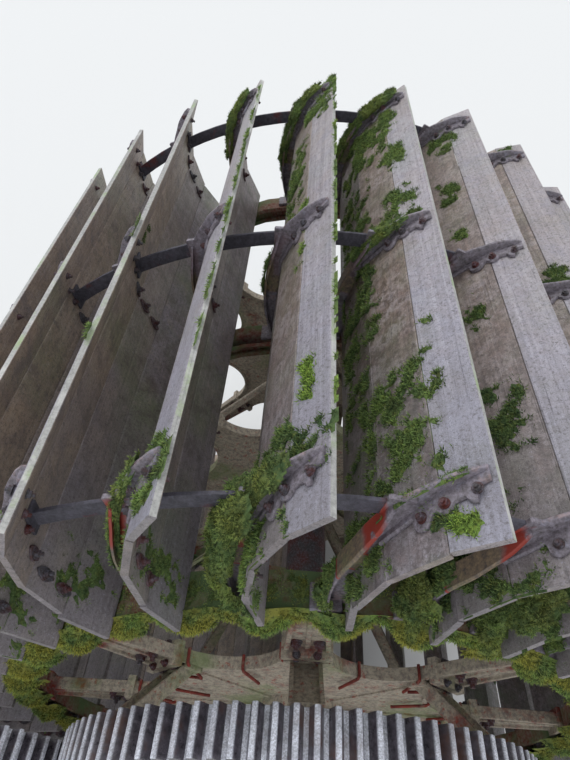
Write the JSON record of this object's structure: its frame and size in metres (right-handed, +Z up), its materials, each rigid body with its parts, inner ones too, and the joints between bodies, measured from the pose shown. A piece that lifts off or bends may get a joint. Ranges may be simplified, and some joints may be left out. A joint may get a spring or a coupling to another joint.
{
  "type": "water wheel",
  "caption": "Breastshot water wheel with curved timber floats on three iron spiders, a toothed ring and its driven pinion, carried on stone piers.",
  "frame": {"origin": "on the floor under the axle, at the middle of the near bearing, on the underside of the near pier", "axes": "+Y along the axle from the toothed end to the far end, +X the side the floats lean to, +Z up"},
  "size_m": [6.2532, 6.53, 5.6624],
  "materials": {
    "masonry": "matte",
    "cap_stone": "matte",
    "boards": "matte",
    "bearing_iron": "matte",
    "axle_iron": "satin",
    "start_iron": "matte",
    "gear_iron": "satin",
    "spider_iron": "matte"
  },
  "bodies": {
    "stand": {"near_pier": "masonry", "far_pier": "masonry", "pinion_pier": "masonry", "near_cap_stone": "cap_stone", "far_cap_stone": "cap_stone", "pinion_cap_stone": "cap_stone", "near_bearing": "bearing_iron", "near_bearing_cap": "bearing_iron", "far_bearing": "bearing_iron", "far_bearing_cap": "bearing_iron", "pinion_bearings": "bearing_iron", "pinion_bearing_caps": "bearing_iron"},
    "wheel": {"axle": "axle_iron", "near_hub": "spider_iron", "middle_hub": "spider_iron", "far_hub": "spider_iron", "near_arms": "spider_iron", "middle_arms": "spider_iron", "far_arms": "spider_iron", "near_rim": "spider_iron", "middle_rim": "spider_iron", "far_rim": "spider_iron", "near_starts": "start_iron", "middle_starts": "start_iron", "far_starts": "start_iron", "near_tie_bars": "start_iron", "middle_tie_bars": "start_iron", "far_tie_bars": "start_iron", "outer_boards": "boards", "second_boards": "boards", "third_boards": "boards", "inner_boards": "boards", "near_braces": "spider_iron", "far_braces": "spider_iron", "gear_brackets": "spider_iron", "gear_ring": "gear_iron"},
    "pinion": {"pinion_shaft": "axle_iron", "pinion_spider": "gear_iron", "pinion_ring": "gear_iron"}
  },
  "joints": [
    {"name": "wheel_spin", "type": "hinge", "parent": "stand", "child": "wheel", "pos_m": [0, 0, 2.9], "axis": [0, 1, 0], "continuous": true},
    {"name": "pinion_spin", "type": "hinge", "parent": "stand", "child": "pinion", "pos_m": [-2.41784, 0, 2.60313], "axis": [0, 1, 0], "continuous": true}
  ],
  "couplings": [
    {"joint": "pinion_spin", "follows": "wheel_spin", "ratio": -1.3333}
  ]
}
